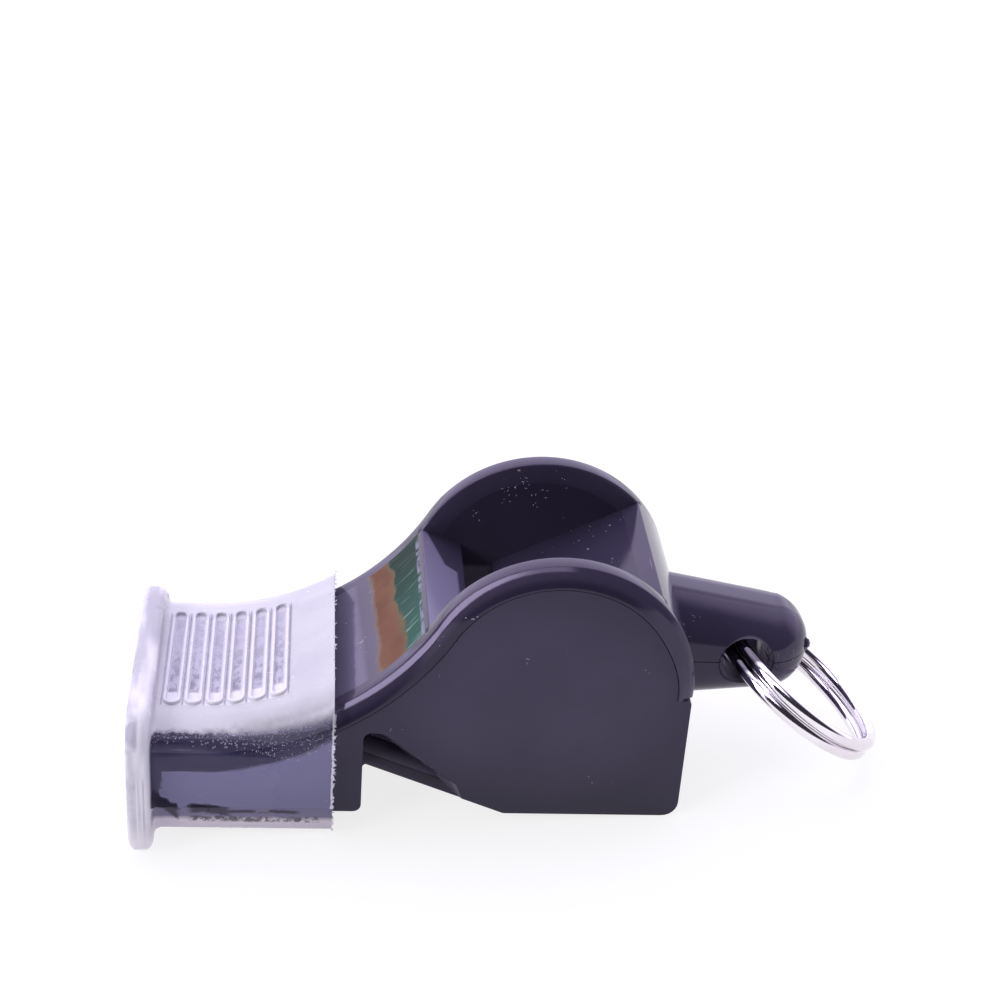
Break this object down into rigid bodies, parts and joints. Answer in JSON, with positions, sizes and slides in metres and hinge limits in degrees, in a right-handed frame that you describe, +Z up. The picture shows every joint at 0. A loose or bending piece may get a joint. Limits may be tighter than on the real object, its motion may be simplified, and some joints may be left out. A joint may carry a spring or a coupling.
{
  "type": "sports whistle",
  "caption": "Three-chamber pealess sports whistle with a clear soft mouth grip and a split ring through its tail lug.",
  "frame": {"origin": "on the flat base face of the body, straight below the centre of the round back, midway between the cheeks", "axes": "+X from the mouth towards the tail lug and the ring, -Y towards the viewer of the picture, +Z up out of the top opening"},
  "size_m": [0.0617, 0.0252, 0.0259],
  "materials": {
    "shell": "moulded, glossy, lightly scratched",
    "core": "moulded, semi-gloss",
    "grip": "clear soft plastic, slightly hazy",
    "ring": "nickel-plated spring steel, polished"
  },
  "bodies": {
    "body": {"upper_shell": "shell", "lower_shell": "shell", "chamber_core": "core"},
    "grip": {"mouth_grip": "grip"},
    "ring": {"split_ring": "ring"}
  },
  "joints": [
    {"name": "ring_swing", "type": "hinge", "parent": "body", "child": "ring", "pos_m": [0.0162, 0, 0.0111], "axis": [0, -1, 0], "range_deg": [-69, 140]},
    {"name": "grip_slide", "type": "slide", "parent": "body", "child": "grip", "axis": [-1, 0, 0], "range_m": [0, 0.018]}
  ]
}
